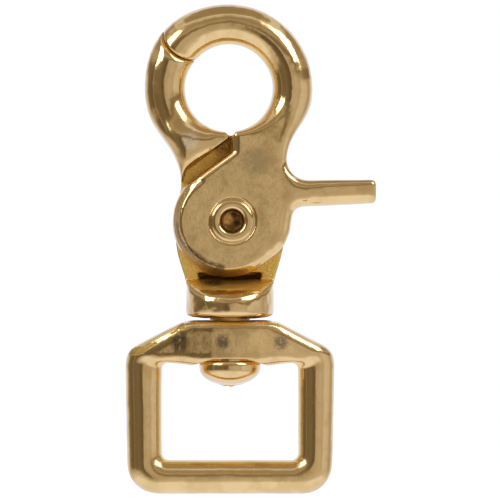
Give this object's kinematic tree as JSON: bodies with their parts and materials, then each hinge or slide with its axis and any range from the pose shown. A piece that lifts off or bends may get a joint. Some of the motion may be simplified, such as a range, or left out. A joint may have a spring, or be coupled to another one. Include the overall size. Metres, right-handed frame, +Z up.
{
  "type": "swivel trigger snap hook",
  "caption": "Polished brass scissor-type snap hook: a sprung trigger jaw closes the ring, and the hook swivels on a headed stud in a rectangular strap eye.",
  "frame": {"origin": "the middle of the strap window, on the swivel axis and halfway through the bars", "axes": "+X across the strap towards the thumb lever, +Y from the front face to the back, +Z up the swivel axis towards the hook's ring"},
  "size_m": [0.0469, 0.0164, 0.0918],
  "materials": {
    "cast_brass": "cast, tumbled and polished",
    "turned_brass": "drawn, headed and polished",
    "spring_wire": "drawn spring wire"
  },
  "bodies": {
    "eye": {"strap_eye": "cast_brass"},
    "hook": {"fixed_jaw": "cast_brass", "swivel_stud": "turned_brass", "pivot_rivet": "turned_brass", "trigger_spring": "spring_wire"},
    "trigger": {"trigger_jaw": "cast_brass"}
  },
  "joints": [
    {"name": "swivel", "type": "hinge", "parent": "eye", "child": "hook", "pos_m": [0, 0, 0.013], "axis": [0, 0, 1], "continuous": true},
    {"name": "trigger_pivot", "type": "hinge", "parent": "hook", "child": "trigger", "pos_m": [0.00045, 0, 0.0356], "axis": [0, 1, 0], "range_deg": [0, 25], "stiffness_Nm_per_rad": 0.23, "springref_deg": -25.21, "deforming": ["trigger_spring"]}
  ]
}
